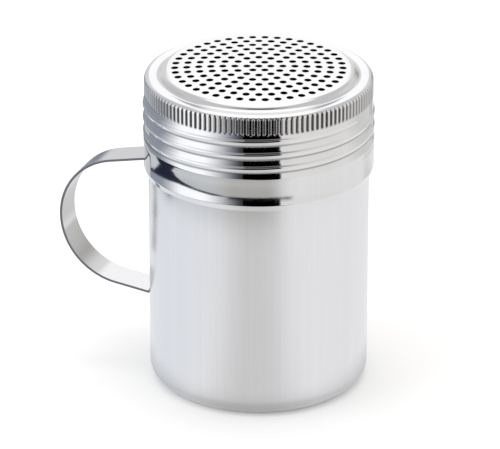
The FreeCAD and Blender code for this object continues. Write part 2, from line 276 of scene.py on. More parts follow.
def threaded_wall(columns, low, high, radius):
    """A grid over a round wall from low to high, whose rows climb one pitch a turn so that they
    follow the thread. Rows that would pass an end stay on it. radius(angle, z) gives r."""
    angle = np.linspace(0, TURN, columns + 1)
    first = math.floor((low - THREAD_FOOT) / THREAD_PITCH) - 1
    last = math.ceil((high - THREAD_FOOT) / THREAD_PITCH) + 1
    starts = THREAD_FOOT + THREAD_PITCH * np.arange(first, last)
    rows = (starts[:, None] + np.array(CREST_ROWS)).ravel()
    z = np.clip(rows[:, None] + THREAD_PITCH * angle / TURN, low, high)
    r = radius(angle[None, :], z)
    return np.stack([r * np.cos(angle), r * np.sin(angle), z], axis=-1)


class Skin:
    """The points and faces of one piece, gathered band by band. Each point says how much painted
    shade it carries, from 0 to 1."""

    def __init__(self):
        self.points, self.faces, self.deposits, self.count = [], [], [], 0

    def band(self, grid, closed=True, deposit=0.0):
        """Faces over a grid of points (rows, ..., columns, 3). Closed joins its last column to its
        first. Returns the points' numbers in the grid's shape."""
        index = self.count + np.arange(grid[..., 0].size).reshape(grid.shape[:-1])
        self.points.append(grid.reshape(-1, 3))
        self.deposits.append(np.broadcast_to(deposit, index.shape).ravel())
        self.count += index.size
        beside = np.roll(index, -1, axis=-1)
        here, beside = (index, beside) if closed else (index[..., :-1], beside[..., :-1])
        quads = np.stack([here[:-1], beside[:-1], beside[1:], here[1:]], axis=-1)
        self.faces.append(quads.reshape(-1, 4))
        return index

    def close_seam(self, one, other):
        """Triangles between two rings of points about the upright axis. Each side of a ring takes
        as its tip the last point of the other ring before the side's end."""
        points = np.concatenate(self.points)
        rings = []
        for ring in (np.ravel(one), np.ravel(other)):
            angle = np.round(np.arctan2(points[ring, 1], points[ring, 0]), ANGLE_DIGITS) % TURN
            order = np.argsort(angle)
            rings.append((ring[order], angle[order]))
        for (ring, angle), (tips, tip_angle), side in (rings + ["left"], rings[::-1] + ["right"]):
            ends = np.append(angle[1:], angle[0] + TURN)
            found = np.searchsorted(np.append(tip_angle, tip_angle[0] + TURN), ends, side=side) - 1
            tip = tips[found % len(tips)]
            self.faces.append(np.stack([ring, np.roll(ring, -1), tip], axis=1))

    def piece(self, name, turn=0.0):
        """One closed, welded, smooth object with its normals outwards, turned about the upright
        axis: x' = x cos a - y sin a, y' = x sin a + y cos a."""
        points = np.concatenate(self.points) * MM
        cos, sin = math.cos(turn), math.sin(turn)
        across = np.array([[cos, -sin, 0], [sin, cos, 0], [0, 0, 1]])
        faces = [face for block in self.faces for face in block.tolist()]
        mesh = bpy.data.meshes.new(name)
        mesh.from_pydata((points @ across.T).tolist(), [], faces)
        # Each point's painted shade, which the steel turns darker and rougher
        deposit = mesh.attributes.new("deposit", "FLOAT", "POINT")
        deposit.data.foreach_set("value", np.concatenate(self.deposits))
        work = bmesh.new()
        work.from_mesh(mesh)
        bmesh.ops.remove_doubles(work, verts=work.verts, dist=WELD_DISTANCE)
        bmesh.ops.recalc_face_normals(work, faces=work.faces)
        work.to_mesh(mesh)
        work.free()
        mesh.polygons.foreach_set("use_smooth", [True] * len(mesh.polygons))
        made = bpy.data.objects.new(name, mesh)
        made.modifiers.new("flats_shade_flat", "WEIGHTED_NORMAL")
        bpy.context.scene.collection.objects.link(made)
        return made


def make_cup():
    """One drawn cup: the outline of base, corner, wall and mouth turned about the axis, and a
    thread's ridge on the neck, outside and in."""
    skin = Skin()
    inner = CUP_RADIUS - CUP_SHEET
    shell = outline([(0, 0, 0), (CUP_RADIUS, 0, BASE_CORNER_RADIUS), (CUP_RADIUS, NECK_FOOT, 0)])
    mouth = outline([(CUP_RADIUS, NECK_TOP, 0), (CUP_RADIUS, CUP_HEIGHT, MOUTH_ROUNDING),
                     (inner, CUP_HEIGHT, MOUTH_ROUNDING), (inner, NECK_TOP, 0)])
    inside = outline([(inner, NECK_FOOT, 0), (inner, CUP_SHEET, BASE_CORNER_RADIUS - CUP_SHEET),
                      (0, CUP_SHEET, 0)])
    # The cup's inside carries painted shade
    for profile, deposit in ((shell, 0.0), (mouth, 0.0), (inside, INSIDE_SHADE)):
        skin.band(turned(profile, CUP_COLUMNS), deposit=deposit)
    for radius, share in ((CUP_RADIUS, 1.0), (inner, INSIDE_RIDGE_SHARE)):
        def wall(angle, z):
            return radius + share * ridge(angle, z, CUP_RIDGE, CUP_RIDGE_SPAN)[0]
        skin.band(threaded_wall(CUP_COLUMNS, NECK_FOOT, NECK_TOP, wall), closed=False)
    return skin.piece("cup_shell")


def lid_outer(arc_step=8.0):
    """The lid's outer outline, from the middle of the top to the folded edge."""
    return outline([
        (0, LID_TOP, 0),
        (DOME_FLAT_RADIUS, LID_TOP, DOME_RADIUS),
        (PLATEAU_RADIUS, PLATEAU_HEIGHT, PLATEAU_ROUNDING),
        (MOAT_RADIUS, MOAT_HEIGHT, MOAT_ROUNDING),
        (LID_RADIUS, RIM_HEIGHT, RIM_ROUNDING),
        (LID_RADIUS, BAND_TOP, BAND_ROUNDING),
        (LID_RADIUS + BAND_BULGE, BAND_CREST, BAND_CREST_ROUNDING),
        (LID_RADIUS + WAIST_BULGE, WAIST, WAIST_ROUNDING),
        (LID_RADIUS + BEAD_BULGE, BEAD, BEAD_ROUNDING),
        (HEM_RADIUS + HEM_WIDTH, LID_FOOT, HEM_ROUNDING),
        (HEM_RADIUS, LID_FOOT, HEM_ROUNDING),
        (HEM_RADIUS, LID_FOOT + HEM_WIDTH, 0),
    ], arc_step)


def lid_inner():
    """The lid's inner outline, from the folded edge up to the middle of the underside."""
    inside = LID_RADIUS - LID_SHEET
    half = LID_SHEET / 2
    return outline([
        (HEM_RADIUS, LID_FOOT + HEM_WIDTH, 0),
        (HEM_RADIUS, WAIST, BAND_ROUNDING),
        (inside + BAND_BULGE, BAND_CREST, BAND_ROUNDING),
        (inside, BAND_TOP, BAND_ROUNDING),
        (inside, RIM_HEIGHT - LID_SHEET, RIM_ROUNDING - LID_SHEET),
        (MOAT_RADIUS - half, MOAT_HEIGHT - LID_SHEET, MOAT_ROUNDING + LID_SHEET),
        (PLATEAU_RADIUS - half, PLATEAU_HEIGHT - LID_SHEET, PLATEAU_ROUNDING - LID_SHEET),
        (DOME_FLAT_RADIUS, LID_TOP - LID_SHEET, DOME_RADIUS - LID_SHEET),
        (0, LID_TOP - LID_SHEET, 0),
    ])


def pierced_cells(ring, height):
    """Faces round each hole of one ring. A cell runs from half a pitch inside the hole's centre to
    half a pitch outside it and half way to its neighbours. Its points move in straight lines to
    the hole's edge, go down the hole and back out underneath. Grid: rows, cells, round, xyz."""
    low, high = (ring - 0.5) * HOLE_PITCH + SEAM_GAP, (ring + 0.5) * HOLE_PITCH - SEAM_GAP
    if ring == 0:
        cells = 1
        angle = np.arange(MIDDLE_POINTS) * TURN / MIDDLE_POINTS
        edge = high * np.stack([np.cos(angle), np.sin(angle)], axis=1)
    else:
        cells = HOLES_PER_RING_STEP * ring
        half = math.pi / cells
        arc = np.linspace(-half, half, ARC_POINTS, endpoint=False)
        side = np.linspace(low, high, SIDE_POINTS, endpoint=False)
        r = np.concatenate([np.full(ARC_POINTS, low), side,
                            np.full(ARC_POINTS, high), low + high - side])
        a = np.concatenate([arc, np.full(SIDE_POINTS, half), -arc, np.full(SIDE_POINTS, -half)])
        edge = np.stack([r * np.cos(a), r * np.sin(a)], axis=1)
    centre = np.array([ring * HOLE_PITCH, 0.0])
    out = (edge - centre) / np.linalg.norm(edge - centre, axis=1)[:, None]
    near = HOLE_EDGE_ROWS + HOLE_UNDER_ROWS
    beside = [centre + out * (HOLE_DIAMETER / 2 + outwards) for outwards, _ in near]
    flat = np.stack([edge] + beside + [edge])
    drop = np.array([0.0] + [down for _, down in near] + [LID_SHEET])[:, None]
    up = height(np.linalg.norm(flat, axis=-1)) - drop
    spin = np.arange(cells) * TURN / cells
    x = flat[:, None, :, 0] * np.cos(spin)[:, None] - flat[:, None, :, 1] * np.sin(spin)[:, None]
    y = flat[:, None, :, 0] * np.sin(spin)[:, None] + flat[:, None, :, 1] * np.cos(spin)[:, None]
    return np.stack([x, y, np.broadcast_to(up[:, None, :], x.shape)], axis=-1)


def fluted_band(rim):
    """The rim's rounding and the knurled band: upright grooves cut into the profile, from where
    they run out in the rim down to a round foot. r is the lesser of the profile's and R less the
    groove's depth, which is the groove section's at the distance from its middle line or, below
    the foot's centre, from that centre. Also gives the painted shade in the grooves, more the deeper the
    cut."""
    pitch = TURN * LID_RADIUS / FLUTE_COUNT
    half = FLUTE_WIDTH / 2
    section = outline([
        (-pitch / 2, 0, 0),
        (-half, LAND_CROWN, FLUTE_SHOULDER_ROUNDING),
        (0, FLUTE_DEPTH, FLUTE_ROOT_ROUNDING),
        (half, LAND_CROWN, FLUTE_SHOULDER_ROUNDING),
        (pitch / 2, 0, 0),
    ], arc_step=30.0, hold=half / 2)
    one_side = section[section[:, 0] > 0]
    beside = section[:-1, 0]
    foot_centre = FLUTE_FOOT + half
    rows = np.concatenate([[foot_centre + FLUTE_ROW_GAP],
                           np.linspace(foot_centre, FLUTE_FOOT, FLUTE_FOOT_ROWS),
                           [KNURL_FOOT + SEAM_GAP]])
    upright = np.column_stack([np.full(len(rows), LID_RADIUS), rows])
    profile = np.vstack([rim, upright])
    angle = (np.arange(FLUTE_COUNT)[:, None] * TURN / FLUTE_COUNT + beside / LID_RADIUS).ravel()
    r, z = profile[:, :1], profile[:, 1:]
    away = np.hypot(np.tile(beside, FLUTE_COUNT), np.maximum(foot_centre - z, 0))
    depth = np.interp(away, one_side[:, 0], one_side[:, 1]) * smooth_step(z, KNURL_FOOT, FLUTE_FOOT)
    cut = np.clip(r - (LID_RADIUS - depth), 0, FLUTE_DEPTH) / FLUTE_DEPTH
    r = np.minimum(r, LID_RADIUS - depth)
    grid = np.stack([r * np.cos(angle), r * np.sin(angle), z + 0 * angle], axis=-1)
    return grid, FLUTE_SHADE * cut ** FLUTE_SHADE_POWER


def make_lid():
    """One pressed lid, welded from bands: pierced top, plateau edge and groove, fluted band,
    threaded skirt, smooth band, bead and folded edge, then the inner skin back to the middle."""
    skin = Skin()
    outer, inner = lid_outer(), lid_inner()
    first_skirt = int(np.argmax(outer[:, 0] > LID_RADIUS - SAME_LENGTH))
    top, skirt = outer[:first_skirt + 1], outer[first_skirt:]

    def height(r):
        return np.interp(r, top[:, 0], top[:, 1])

    # Painted shade down each hole's wall and on the underside round it
    hole_shades = np.array(HOLE_SHADES)[:, None, None]
    cells = [skin.band(pierced_cells(ring, height), deposit=hole_shades)
             for ring in range(HOLE_RINGS + 1)]
    far = slice(ARC_POINTS + SIDE_POINTS, 2 * ARC_POINTS + SIDE_POINTS)
    rings_out = [cells[0]] + [grid[..., far] for grid in cells[1:]]
    rings_in = [grid[..., :ARC_POINTS] for grid in cells[1:]]
    for row in (0, -1):
        for outside, inside in zip(rings_out, rings_in):
            skin.close_seam(outside[row], inside[row])

    pierced_end = (HOLE_RINGS + 0.5) * HOLE_PITCH + SEAM_GAP
    plateau = skin.band(turned(cut_line(top, 0, pierced_end, KNURL_START_RADIUS), LID_COLUMNS))
    skin.close_seam(rings_out[-1][0], plateau[0])

    fine = lid_outer(arc_step=5.0)
    fine_top = fine[:int(np.argmax(fine[:, 0] > LID_RADIUS - SAME_LENGTH)) + 1]
    rim = cut_line(fine_top, 0, KNURL_START_RADIUS + SEAM_GAP, LID_RADIUS - RIM_END_GAP)
    flutes, deposit = fluted_band(rim)
    knurl = skin.band(flutes, deposit=deposit)
    skin.close_seam(plateau[-1], knurl[0])

    falling = skirt[np.argsort(skirt[:, 1])]

    def outer_wall(angle, z):
        bulge = np.interp(z, falling[:, 1], falling[:, 0]) - LID_RADIUS
        return LID_RADIUS + greater(bulge, ridge(angle, z, LID_RIDGE, LID_RIDGE_SPAN)[0])

    wall = threaded_wall(LID_COLUMNS, THREAD_ZONE_FOOT, KNURL_FOOT, outer_wall)
    around = np.linspace(0, TURN, LID_COLUMNS + 1)[None, :]
    # Painted shade under the ridge's lower foot
    under_ridge = ridge(around, wall[..., 2], LID_RIDGE, LID_RIDGE_SPAN)[1]
    thread = skin.band(wall, closed=False, deposit=UNDER_RIDGE_SHADE * under_ridge)
    skin.close_seam(knurl[-1], thread[-1, :-1])

    below = skirt[skirt[:, 1] < THREAD_ZONE_FOOT - JOINT_GAP]
    start = [np.interp(THREAD_ZONE_FOOT, falling[:, 1], falling[:, 0]), THREAD_ZONE_FOOT]
    hem = skin.band(turned(np.vstack([start, below]), LID_COLUMNS))

    rising = inner[inner[:, 1] < RIM_HEIGHT - LID_SHEET - RIM_ROUNDING]

    def inner_wall(angle, z):
        return np.interp(z, rising[:, 1], rising[:, 0]) + ridge(angle, z, LID_RIDGE, LID_RIDGE_SPAN)[0]

    # The lid's inner threaded wall carries painted shade
    skin.band(threaded_wall(INNER_COLUMNS, THREAD_ZONE_FOOT, KNURL_FOOT, inner_wall), closed=False,
              deposit=INSIDE_SHADE)
    lower = inner[inner[:, 1] < THREAD_ZONE_FOOT - JOINT_GAP]
    join = [np.interp(THREAD_ZONE_FOOT, rising[:, 1], rising[:, 0]), THREAD_ZONE_FOOT]
    lower_band = skin.band(turned(np.vstack([lower[1:], join]), INNER_COLUMNS))
    skin.close_seam(hem[-1], lower_band[0])
    upper = inner[(inner[:, 1] > KNURL_FOOT) & (inner[:, 0] > pierced_end)]
    start = [np.interp(KNURL_FOOT, rising[:, 1], rising[:, 0]), KNURL_FOOT]
    end = [pierced_end, height(pierced_end) - LID_SHEET]
    # The underside of the lid's top carries painted shade
    underside = skin.band(turned(np.vstack([start, upper, end]), INNER_COLUMNS), deposit=INSIDE_SHADE)
    skin.close_seam(underside[-1], rings_out[-1][-1])
    return skin.piece("lid_shell", math.radians(LID_STOP_ANGLE))


def strap_line():
    """The strap's middle line: x, z, heading and how far the strap follows the cup's roundness,
    from the upper tab's foot round the bow to the lower tab's top. Straight runs and arcs."""
    tab = math.sqrt(CUP_RADIUS ** 2 - (STRAP_WIDTH / 2) ** 2) + STRAP_THICKNESS / 2
    bow = np.array(BOW_CENTRE)
    upper, lower = UPPER_LEG_SLOPE, LOWER_LEG_SLOPE
    upper_start = bow + BOW_RADIUS * np.array([math.sin(upper), math.cos(upper)])
    lower_start = bow + BOW_RADIUS * np.array([math.sin(lower), -math.cos(lower)])
    x = tab + TAB_BEND_RADIUS
    upper_bend = np.array([x, upper_start[1] + (upper_start[0] - x) * math.tan(upper)
                           - TAB_BEND_RADIUS / math.cos(upper)])
    lower_bend = np.array([x, lower_start[1] - (lower_start[0] - x) * math.tan(lower)
                           + TAB_BEND_RADIUS / math.cos(lower)])

    def straight(start, end):
        share = np.linspace(0, 1, LEG_STEPS + 1)[:, None]
        heading = math.atan2(end[1] - start[1], end[0] - start[0])
        return np.hstack([start + (np.array(end) - start) * share, np.full((LEG_STEPS + 1, 1), heading)])

    def arc(centre, radius, start, end, steps):
        angle = np.linspace(start, end, steps + 1)
        return np.column_stack([centre[0] + radius * np.cos(angle), centre[1] + radius * np.sin(angle),
                                angle - math.pi / 2])

    quarter = math.pi / 2
    first_arc = arc(upper_bend, TAB_BEND_RADIUS, math.pi, quarter - upper, BEND_STEPS)
    bow_arc = arc(bow, BOW_RADIUS, quarter - upper, lower - quarter, BOW_STEPS)
    last_arc = arc(lower_bend, TAB_BEND_RADIUS, 3 * quarter + lower - TURN, math.pi - TURN, BEND_STEPS)
    runs = [
        straight(np.array([tab, UPPER_TAB_FOOT]), first_arc[0, :2]),
        first_arc,
        straight(first_arc[-1, :2], bow_arc[0, :2]),
        bow_arc,
        straight(bow_arc[-1, :2], last_arc[0, :2]),
        last_arc,
        straight(last_arc[-1, :2], np.array([tab, LOWER_TAB_TOP])),
    ]
    line = np.vstack([runs[0]] + [run[1:] for run in runs[1:]])
    follow = 1 - smooth_step(line[:, 0], tab, tab + FLAT_AFTER_BENDS * TAB_BEND_RADIUS)
    return np.column_stack([line, follow])


def make_handle():
    """A flat strap with eased edges carried along its line. At the tabs its section curves with
    the cup's wall: sqrt(R^2 - y^2) further out in the middle than at the edges. Each end closes
    in a flat face with eased edges."""
    line = strap_line()
    half_width, half = STRAP_WIDTH / 2, STRAP_THICKNESS / 2
    right = divided(outline([(0, -half, 0), (half_width, -half, STRAP_EDGE_ROUNDING),
                             (half_width, half, STRAP_EDGE_ROUNDING), (0, half, 0)], arc_step=22.5),
                    STRAP_FACE_STEP)
    section = np.vstack([right, right[-2:0:-1] * (-1, 1)])
    y, side = section[:, 0], section[:, 1]

    length = lengths_along(line)
    ease = STRAP_EDGE_ROUNDING
    clear = (length > 2 * ease) & (length < length[-1] - 2 * ease)
    shares = np.array(END_SHARES)
    at = np.concatenate([shares * ease, length[clear], length[-1] - shares[::-1] * ease])
    loss = np.concatenate([END_LOSS_SHARES, np.zeros(clear.sum()), END_LOSS_SHARES[::-1]])[:, None]
    x, z, heading, follow = (np.interp(at, length, column)[:, None] for column in line.T)
    ends = np.zeros(loss.shape)
    ends[[0, -1]] = 1
    across = y * (1 - loss * ease / half_width)
    off = side * (1 - loss * ease / half) * (1 - ends)
    bulge = np.sqrt(CUP_RADIUS ** 2 - across ** 2) - math.sqrt(CUP_RADIUS ** 2 - half_width ** 2)
    # Painted shade on the strap's rounded edges and on its ends, which also turn rougher
    edge_shade = np.maximum(smooth_step(np.abs(y), half_width - STRAP_EDGE_ROUNDING, half_width), ends)
    skin = Skin()
    grid = np.stack([x + off * np.sin(heading) + bulge * follow, across,
                     z - off * np.cos(heading)], axis=-1)
    skin.band(grid, deposit=edge_shade)
    return skin.piece("strap_handle", math.pi)


# Finishes

GRAIN_DETAIL, GRAIN_ROUGHNESS = 4.0, 0.65
TONE_DETAIL = 3.0
TONE_SCALE_SHARE = 0.13
STREAK_SHARE = 0.55
MARKS_PER_METRE = 45.0
MARKS_DETAIL, MARKS_ROUGHNESS = 5.0, 0.6
MARKS_FROM, MARKS_TO = 0.5, 0.75
# A Mix node's sockets by number, because its floats and its colours share their names
FLOAT_A, FLOAT_B, FLOAT_RESULT = 2, 3, 0
COLOUR_A, COLOUR_B, COLOUR_RESULT = 6, 7, 2


def put(tree, kind, **settings):
    """A new shader node. Settings name its inputs, with _ for a blank, or its own properties."""
    node = tree.nodes.new(kind)
    for name, value in settings.items():
        socket = node.inputs.get(name.replace("_", " "))
        if socket is None:
            setattr(node, name, value)
        elif isinstance(value, bpy.types.NodeSocket):
            tree.links.new(value, socket)
        else:
            socket.default_value = value
    return node


def new_group(name, value_in, values_out):
    """A node group that takes a vector and one value and gives other values. Gives the group's
    tree, the sockets that it takes and those that it fills."""
    tree = bpy.data.node_groups.new(name, "ShaderNodeTree")
    tree.interface.new_socket("Vector", in_out="INPUT", socket_type="NodeSocketVector")
    tree.interface.new_socket(value_in, in_out="INPUT", socket_type="NodeSocketFloat")
    for value_out in values_out:
        tree.interface.new_socket(value_out, in_out="OUTPUT", socket_type="NodeSocketFloat")
    taken = tree.nodes.new("NodeGroupInput").outputs
    filled = tree.nodes.new("NodeGroupOutput").inputs
    return tree, taken, filled


def grain_group():
    """Brushing: fine lines along one direction, as a height and, with slow streaks, as a tone."""
    tree, taken, filled = new_group("brushed_grain", "Fineness", ("Lines", "Tone"))
    place, fineness = taken["Vector"], taken["Fineness"]
    lines = put(tree, "ShaderNodeTexNoise", Vector=place, Scale=fineness, Detail=GRAIN_DETAIL,
                Roughness=GRAIN_ROUGHNESS)
    slow = put(tree, "ShaderNodeMath", operation="MULTIPLY")
    tree.links.new(fineness, slow.inputs[0])
    slow.inputs[1].default_value = TONE_SCALE_SHARE
    tone = put(tree, "ShaderNodeTexNoise", Vector=place, Scale=slow.outputs[0], Detail=TONE_DETAIL)
    streaked = put(tree, "ShaderNodeMix", data_type="FLOAT")
    streaked.inputs["Factor"].default_value = STREAK_SHARE
    tree.links.new(tone.outputs["Fac"], streaked.inputs[FLOAT_A])
    tree.links.new(lines.outputs["Fac"], streaked.inputs[FLOAT_B])
    tree.links.new(lines.outputs["Fac"], filled["Lines"])
    tree.links.new(streaked.outputs[FLOAT_RESULT], filled["Tone"])
    return tree


def smudge_group():
    """Handling marks: soft patches, from none to full."""
    tree, taken, filled = new_group("handling_marks", "Size", ("Marks",))
    noise = put(tree, "ShaderNodeTexNoise", Vector=taken["Vector"], Scale=taken["Size"],
                Detail=MARKS_DETAIL, Roughness=MARKS_ROUGHNESS)
    ramp = put(tree, "ShaderNodeMapRange", From_Min=MARKS_FROM, From_Max=MARKS_TO)
    tree.links.new(noise.outputs["Fac"], ramp.inputs["Value"])
    tree.links.new(ramp.outputs["Result"], filled["Marks"])
    return tree


def blank_material(name):
    """A material without nodes, and its tree."""
    material = bpy.data.materials.new(name)
    material.use_nodes = True
    material.node_tree.nodes.clear()
    return material, material.node_tree


def steel(name, clean, dull, shade_colour, roughness, stretch, fineness, depth, brushed=0.0):
    """Stainless steel. clean and dull are its two tones, then comes the colour of the painted
    shade that its points carry, roughness its least, its most and the painted shade's, stretch
    the grain's scale on each axis, depth the height of the grain's lines in millimetres."""
    material, tree = blank_material(name)
    place = put(tree, "ShaderNodeTexCoord").outputs["Object"]
    stretched = put(tree, "ShaderNodeMapping", Vector=place, Scale=stretch).outputs["Vector"]
    grain = put(tree, "ShaderNodeGroup", node_tree=grain_tree)
    tree.links.new(stretched, grain.inputs["Vector"])
    grain.inputs["Fineness"].default_value = fineness
    marks = put(tree, "ShaderNodeGroup", node_tree=smudge_tree)
    tree.links.new(place, marks.inputs["Vector"])
    marks.inputs["Size"].default_value = MARKS_PER_METRE
    tone = put(tree, "ShaderNodeMix", data_type="RGBA")
    tree.links.new(grain.outputs["Tone"], tone.inputs["Factor"])
    tone.inputs[COLOUR_A].default_value = (*clean, 1)
    tone.inputs[COLOUR_B].default_value = (*dull, 1)
    rough = put(tree, "ShaderNodeMapRange", To_Min=roughness[0], To_Max=roughness[1])
    tree.links.new(marks.outputs["Marks"], rough.inputs["Value"])
    bump = put(tree, "ShaderNodeBump", Strength=1.0, Distance=depth * MM)
    tree.links.new(grain.outputs["Lines"], bump.inputs["Height"])
    # Painted shade from the points: the colour turns to the shade's colour and the steel rougher
    shade_amount = put(tree, "ShaderNodeAttribute", attribute_name="deposit").outputs["Fac"]
    shaded = put(tree, "ShaderNodeMix", data_type="RGBA")
    tree.links.new(shade_amount, shaded.inputs["Factor"])
    tree.links.new(tone.outputs[COLOUR_RESULT], shaded.inputs[COLOUR_A])
    shaded.inputs[COLOUR_B].default_value = (*shade_colour, 1)
    matt = put(tree, "ShaderNodeMapRange", To_Max=roughness[2])
    tree.links.new(shade_amount, matt.inputs["Value"])
    tree.links.new(rough.outputs["Result"], matt.inputs["To Min"])
    round_axis = put(tree, "ShaderNodeTangent", direction_type="RADIAL", axis="Z")
    shader = put(tree, "ShaderNodeBsdfPrincipled", Metallic=1.0,
                 Base_Color=shaded.outputs[COLOUR_RESULT], Roughness=matt.outputs["Result"],
                 Normal=bump.outputs["Normal"], Anisotropic=brushed,
                 Tangent=round_axis.outputs["Tangent"])
    put(tree, "ShaderNodeOutputMaterial", Surface=shader.outputs["BSDF"])
    return material


def dress(piece, material, body, node):
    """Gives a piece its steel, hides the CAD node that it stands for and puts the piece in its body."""
    piece.data.materials.append(material)
    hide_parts(node)
    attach(piece, body)


# Studio

CAMERA_DISTANCE = 1.2027
CAMERA_AZIMUTH = math.radians(20.0)
CAMERA_ELEVATION = math.radians(21.79)
LENS_PIXELS = 4000.0
FRAME_WIDTH, FRAME_HEIGHT = 500, 449
TOP_MIDDLE_PIXEL = (258.7, 66.0)
SENSOR_WIDTH = 36.0
CLIP_START, CLIP_END = 0.05, 50.0
FLOOR_HALF_SIZE = 6.0
FLOOR_WHITE = (0.93, 0.93, 0.93, 1)
FLOOR_LIFT = 0.12
WORLD_GREY = (0.76, 0.75, 0.74, 1)
WORLD_WHITE = (1, 1, 1, 1)

towards_camera = Vector((math.sin(CAMERA_AZIMUTH), -math.cos(CAMERA_AZIMUTH), 0))
to_the_right = Vector((math.cos(CAMERA_AZIMUTH), math.sin(CAMERA_AZIMUTH), 0))


def make_camera():
    """The photo's view: the middle of the lid's top falls on its pixel in the photo."""
    target = Vector((0, 0, LID_TOP * MM))
    level, rise = math.cos(CAMERA_ELEVATION), math.sin(CAMERA_ELEVATION)
    back = towards_camera * level + Vector((0, 0, rise))
    up = Vector((0, 0, level)) - towards_camera * rise
    aside = FRAME_WIDTH / 2 - TOP_MIDDLE_PIXEL[0]
    down = FRAME_HEIGHT / 2 - TOP_MIDDLE_PIXEL[1]
    aim = -back * LENS_PIXELS + to_the_right * aside - up * down
    lens = bpy.data.cameras.new("camera")
    lens.sensor_width = SENSOR_WIDTH
    lens.lens = LENS_PIXELS * SENSOR_WIDTH / FRAME_WIDTH
    lens.clip_start, lens.clip_end = CLIP_START, CLIP_END
    camera = bpy.data.objects.new("camera", lens)
    camera.location = target + back * CAMERA_DISTANCE
    camera.rotation_euler = aim.to_track_quat("-Z", "Y").to_euler()
    bpy.context.scene.collection.objects.link(camera)
    bpy.context.scene.camera = camera


# What the steel reflects: a table and a room of light that no camera, shadow or floor sees. They
# were worked out from the reflections in the photo. Headings are in degrees to the right of the
# camera as seen from the shaker, elevations in degrees above level at the lid, distances from the
# axis in metres, and lights are colours with 1 for white.

FOOT_DISTANCE = 0.030
ROOM_DISTANCE = 0.216
ROOM_HEIGHT = 0.35
ROOM_TOP = 0.50
LID_EYE = 0.085
TABLE_HEIGHT = 0.0005
SWEEP_COLUMNS = 720
COARSE_ROW, FINE_ROW = 0.005, 0.001
FINE_ROWS_START = 0.164
ROOF_ROWS = 30
ROOF_END_SHARE = 0.999

BLACK = (0.0, 0.0, 0.0)
GAP_NAVY = (0.02, 0.025, 0.05)
TABLE_WHITE = (0.98, 0.98, 0.99)
TABLE_FRONT = (0.745, 0.745, 0.745)
TABLE_LEFT = (0.93, 0.955, 1.0)
TABLE_BEHIND = (0.76, 0.75, 0.75)
EDGE_FRONT = (0.52, 0.51, 0.49)
EDGE_BEHIND = (0.50, 0.49, 0.48)
EDGE_LEFT = (0.64, 0.66, 0.68)
EDGE_RIGHT = (0.95, 0.95, 0.95)
EDGE_FAR_RIGHT = (0.62, 0.61, 0.60)
WALL_RIGHT = (0.93, 0.92, 0.90)
WALL_RIGHT_ASIDE = (0.77, 0.77, 0.76)
WALL_FAR_RIGHT = (0.43, 0.42, 0.41)
WALL_LEFT = (0.335, 0.37, 0.43)
SOFTBOX = (1.30, 1.32, 1.36)
CEILING_SIDE = (0.72, 0.72, 0.73)
CEILING_FRONT = (0.30, 0.30, 0.29)
CEILING = (1.35, 1.35, 1.35)
FRONT_CARD = (0.21, 0.21, 0.215)
BACKDROP = (1.25, 1.25, 1.26)
BACKDROP_SIDE = (0.84, 0.84, 0.85)

# A span says where a light starts, is full, begins to fade and is gone. These two halves stand for
# a light that is there from the start, and for one that never fades.
FROM_START, TO_END = (-1000, -999), (999, 1000)
EVERYWHERE = FROM_START + TO_END
BEHIND = (150, 166) + TO_END

# Layers are laid over one another in turn. Each is a light, its span of headings, its span of
# distances or elevations, and whether its headings count the same to the left and the right.
TABLE_LAYERS = (
    (TABLE_LEFT, (-198, -158, -70, -30), EVERYWHERE, False),
    (TABLE_FRONT, (-46, -10, 3, 39), EVERYWHERE, False),
    (TABLE_BEHIND, BEHIND, EVERYWHERE, True),
)
EDGE_LAYERS = (
    (EDGE_LEFT, (-187, -171, 6, 22), EVERYWHERE, False),
    (EDGE_FRONT, (-48, -20, 4, 32), EVERYWHERE, False),
    (EDGE_BEHIND, BEHIND, EVERYWHERE, True),
)
LATER_TABLE_LAYERS = (
    (EDGE_FAR_RIGHT, (115, 129, 145, 159), (0.168, 0.212) + TO_END, False),
)
# Far right, the wall's light starts at a share of its full one, the fifth number of its span.
WALL_LAYERS = (
    (WALL_RIGHT_ASIDE, (86, 114, 138, 166), FROM_START + (10, 25), False),
    (WALL_FAR_RIGHT, (135, 149, 147, 161), (-18, -10, 5, 26, 0.7), False),
    (GAP_NAVY, FROM_START + (-0.5, 0), EVERYWHERE, False),
    (WALL_LEFT, (-197, -173, -102, -78), EVERYWHERE, False),
    (GAP_NAVY, (-190, -180, -163, -153), (-17, -13, -9, -5), False),
    (SOFTBOX, (-108, -74, -56, -12), EVERYWHERE, False),
)
UPPER_LAYERS = (
    (CEILING_FRONT, (-50, -10, 10, 50), (20, 30, 48, 58), False),
    (CEILING, EVERYWHERE, (54, 64) + TO_END, False),
    (BACKDROP_SIDE, FROM_START + (-145, -128), (-6, 0, 40, 50), False),
    (BACKDROP, (165, 170) + TO_END, (-5, 1) + TO_END, True),
    (CEILING, (140, 165) + TO_END, (22, 34) + TO_END, True),
)
# The black gap straight in front, the card that stands in it, and the gap's wider foot
GAP_HEADINGS, GAP_ELEVATIONS = (-16.2, -13.8, 18.1, 20.5), FROM_START + (42, 54)
CARD_ELEVATIONS = (11, 19, 27, 35)
LOW_GAP_HEADINGS, LOW_GAP_ELEVATIONS = (-31, -25, 27, 33), FROM_START + (-20.9, -20.5)

# The table's shade at the shaker's foot, and the distances over which it turns into its edge
FOOT_SHADE = 0.65
FOOT_SHADE_END = 0.050
EDGE_START, EDGE_START_BEHIND, EDGE_FULL = 0.160, 0.110, 0.195
